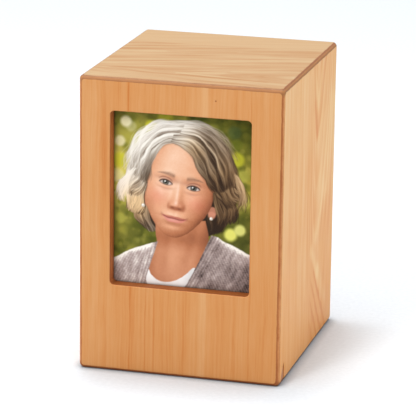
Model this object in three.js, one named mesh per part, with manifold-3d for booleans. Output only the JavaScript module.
// Cremation urn box: a hollow veneered box with a picture window in its front wall.
// Millimetres, +Z up. The front faces -Y and the origin is the middle of the underside.
import * as THREE from 'three';
import { ConvexGeometry } from 'three/addons/geometries/ConvexGeometry.js';
import { RoundedBoxGeometry } from 'three/addons/geometries/RoundedBoxGeometry.js';
import { mergeVertices } from 'three/addons/utils/BufferGeometryUtils.js';
import Module from 'manifold-3d';

// Driving dimensions of the box
const BOX_WIDTH = 154;
const BOX_DEPTH = 172;
const BOX_HEIGHT = 224;
const WALL = 12;
const EDGE_RADIUS = 3.4;
const HALF_EDGE_FACETS = 4;
const GLUE_GAP = 0.3;

// Window in the front wall, and the rebate behind it that holds the print
const WINDOW_WIDTH = 106;
const WINDOW_HEIGHT = 132;
const WINDOW_BOTTOM = 67;
const WINDOW_CORNER_RADIUS = 3.2;
const WINDOW_CORNER_FACETS = 8;
const REVEAL_DEPTH = 10;
const PRINT_OVERLAP = 4;
const PRINT_THICKNESS = 1.5;
const PRINT_CORNER_RADIUS = 1;

// Base board, which lifts out of a ledge cut into the foot of the four walls
const BASE_THICKNESS = 10;
const LEDGE_WIDTH = 6;
const FIT_GAP = 0.3;

// How far a cutting tool runs past the face that it cuts through
const OVERCUT = 5;

// Derived places
const HALF_WIDTH = BOX_WIDTH / 2;
const HALF_DEPTH = BOX_DEPTH / 2;
const FRONT = -HALF_DEPTH;
const WINDOW_MIDDLE = WINDOW_BOTTOM + WINDOW_HEIGHT / 2;
const LEDGE_OPENING_WIDTH = BOX_WIDTH - 2 * (WALL - LEDGE_WIDTH);
const LEDGE_OPENING_DEPTH = BOX_DEPTH - 2 * (WALL - LEDGE_WIDTH);
const MITRE_SETBACK = GLUE_GAP / Math.SQRT2;

const wasm = await Module();
wasm.setup();

// A closed three.js geometry as a solid that can be cut and joined
function toSolid(geometry) {
  const bare = geometry.clone();
  bare.deleteAttribute('normal');
  bare.deleteAttribute('uv');
  const merged = mergeVertices(bare, 1e-4);
  return new wasm.Manifold(new wasm.Mesh({
    numProp: 3,
    vertProperties: new Float32Array(merged.attributes.position.array),
    triVerts: new Uint32Array(merged.index.array),
  }));
}

// A solid back as a three.js geometry
function toGeometry(solid) {
  const mesh = solid.getMesh();
  const geometry = new THREE.BufferGeometry();
  geometry.setAttribute('position', new THREE.BufferAttribute(new Float32Array(mesh.vertProperties), 3));
  geometry.setIndex(new THREE.BufferAttribute(new Uint32Array(mesh.triVerts), 1));
  geometry.computeVertexNormals();
  return geometry;
}

function block(width, depth, height, centre) {
  return new THREE.BoxGeometry(width, depth, height).translate(...centre);
}

// A rectangle with round corners, centred on the origin
function roundedRectangle(width, height, radius) {
  const x = width / 2;
  const y = height / 2;
  const shape = new THREE.Shape();
  shape.moveTo(-x + radius, -y);
  shape.lineTo(x - radius, -y);
  shape.absarc(x - radius, -y + radius, radius, -Math.PI / 2, 0, false);
  shape.lineTo(x, y - radius);
  shape.absarc(x - radius, y - radius, radius, 0, Math.PI / 2, false);
  shape.lineTo(-x + radius, y);
  shape.absarc(-x + radius, y - radius, radius, Math.PI / 2, Math.PI, false);
  shape.lineTo(-x, -y + radius);
  shape.absarc(-x + radius, -y + radius, radius, Math.PI, Math.PI * 1.5, false);
  return shape;
}

// An upright plate of that outline around the window's middle, from one depth to another
function windowPlate(width, height, radius, fromY, toY) {
  return new THREE.ExtrudeGeometry(roundedRectangle(width, height, radius), {
    depth: toY - fromY,
    bevelEnabled: false,
    curveSegments: WINDOW_CORNER_FACETS,
  }).rotateX(Math.PI / 2).translate(0, toY, WINDOW_MIDDLE);
}

// The whole outer form, with every edge and corner rounded over
function outerForm() {
  const form = new RoundedBoxGeometry(BOX_WIDTH, BOX_DEPTH, BOX_HEIGHT, HALF_EDGE_FACETS, EDGE_RADIUS);
  return toSolid(form.translate(0, 0, BOX_HEIGHT / 2));
}

// A wall's mitred block: two upright mitres, a mitre under the top board and a square foot.
// The wall lies across the direction `out`, at `reach` from the middle, and is `span` wide.
function wallBlock(out, reach, span) {
  const along = new THREE.Vector3(-out.y, out.x, 0);
  const points = [];
  for (const inset of [0, WALL]) {
    const half = span / 2 - inset - MITRE_SETBACK;
    const top = BOX_HEIGHT - inset - MITRE_SETBACK;
    for (const side of [-1, 1]) {
      for (const z of [0, top]) {
        const point = out.clone().multiplyScalar(reach - inset).addScaledVector(along, side * half);
        points.push(point.setZ(z));
      }
    }
  }
  return toSolid(new ConvexGeometry(points));
}

// The top board's block, mitred on all four sides
function topBlock() {
  const points = [];
  for (const inset of [0, WALL]) {
    const x = HALF_WIDTH - inset - MITRE_SETBACK;
    const y = HALF_DEPTH - inset - MITRE_SETBACK;
    for (const sideX of [-1, 1]) {
      for (const sideY of [-1, 1]) {
        points.push(new THREE.Vector3(sideX * x, sideY * y, BOX_HEIGHT - inset));
      }
    }
  }
  return toSolid(new ConvexGeometry(points));
}

// The space at the foot of the walls that the base board fills
function ledgeSpace() {
  const height = BASE_THICKNESS + FIT_GAP + OVERCUT;
  const middle = [0, 0, height / 2 - OVERCUT];
  return toSolid(block(LEDGE_OPENING_WIDTH, LEDGE_OPENING_DEPTH, height, middle));
}

// Window and rebate, as one cutting tool
function windowSpace() {
  const shoulder = FRONT + REVEAL_DEPTH;
  const opening = windowPlate(
    WINDOW_WIDTH, WINDOW_HEIGHT, WINDOW_CORNER_RADIUS, FRONT - OVERCUT, shoulder + OVERCUT);
  const rebate = windowPlate(
    WINDOW_WIDTH + 2 * PRINT_OVERLAP, WINDOW_HEIGHT + 2 * PRINT_OVERLAP,
    PRINT_CORNER_RADIUS, shoulder, FRONT + WALL + OVERCUT);
  return toSolid(opening).add(toSolid(rebate));
}

// The mounted print, standing in the rebate with a small gap all round
function printPlate() {
  const front = FRONT + REVEAL_DEPTH + FIT_GAP / 2;
  return windowPlate(
    WINDOW_WIDTH + 2 * (PRINT_OVERLAP - FIT_GAP), WINDOW_HEIGHT + 2 * (PRINT_OVERLAP - FIT_GAP),
    PRINT_CORNER_RADIUS, front, front + PRINT_THICKNESS);
}

// The base board, flush with the foot of the walls
function baseBoard() {
  return block(
    LEDGE_OPENING_WIDTH - 2 * FIT_GAP, LEDGE_OPENING_DEPTH - 2 * FIT_GAP,
    BASE_THICKNESS, [0, 0, BASE_THICKNESS / 2]);
}

const frontVeneer = new THREE.MeshStandardMaterial({ color: 0xd89b62, roughness: 0.5, metalness: 0 });
const sideVeneer = new THREE.MeshStandardMaterial({ color: 0xe0ac74, roughness: 0.5, metalness: 0 });
const topVeneer = new THREE.MeshStandardMaterial({ color: 0xe0bc90, roughness: 0.5, metalness: 0 });
const bareBoard = new THREE.MeshStandardMaterial({ color: 0xa9713f, roughness: 0.8, metalness: 0 });
const printPaper = new THREE.MeshStandardMaterial({ color: 0x8f8f6a, roughness: 0.35, metalness: 0 });

const form = outerForm();
const ledge = ledgeSpace();
const walls = [
  { name: 'front_panel', out: new THREE.Vector3(0, -1, 0), reach: HALF_DEPTH, span: BOX_WIDTH, skin: frontVeneer },
  { name: 'back_panel', out: new THREE.Vector3(0, 1, 0), reach: HALF_DEPTH, span: BOX_WIDTH, skin: frontVeneer },
  { name: 'left_panel', out: new THREE.Vector3(-1, 0, 0), reach: HALF_WIDTH, span: BOX_DEPTH, skin: sideVeneer },
  { name: 'right_panel', out: new THREE.Vector3(1, 0, 0), reach: HALF_WIDTH, span: BOX_DEPTH, skin: sideVeneer },
];

const group = new THREE.Group();

function addPiece(name, geometry, material) {
  const piece = new THREE.Mesh(geometry, material);
  piece.name = name;
  group.add(piece);
}

for (const wall of walls) {
  let solid = wallBlock(wall.out, wall.reach, wall.span).intersect(form).subtract(ledge);
  if (wall.name === 'front_panel') {
    solid = solid.subtract(windowSpace());
  }
  addPiece(wall.name, toGeometry(solid), wall.skin);
}
addPiece('top_panel', toGeometry(topBlock().intersect(form)), topVeneer);
addPiece('base_panel', baseBoard(), bareBoard);
addPiece('photo_print', printPlate(), printPaper);

export default group;
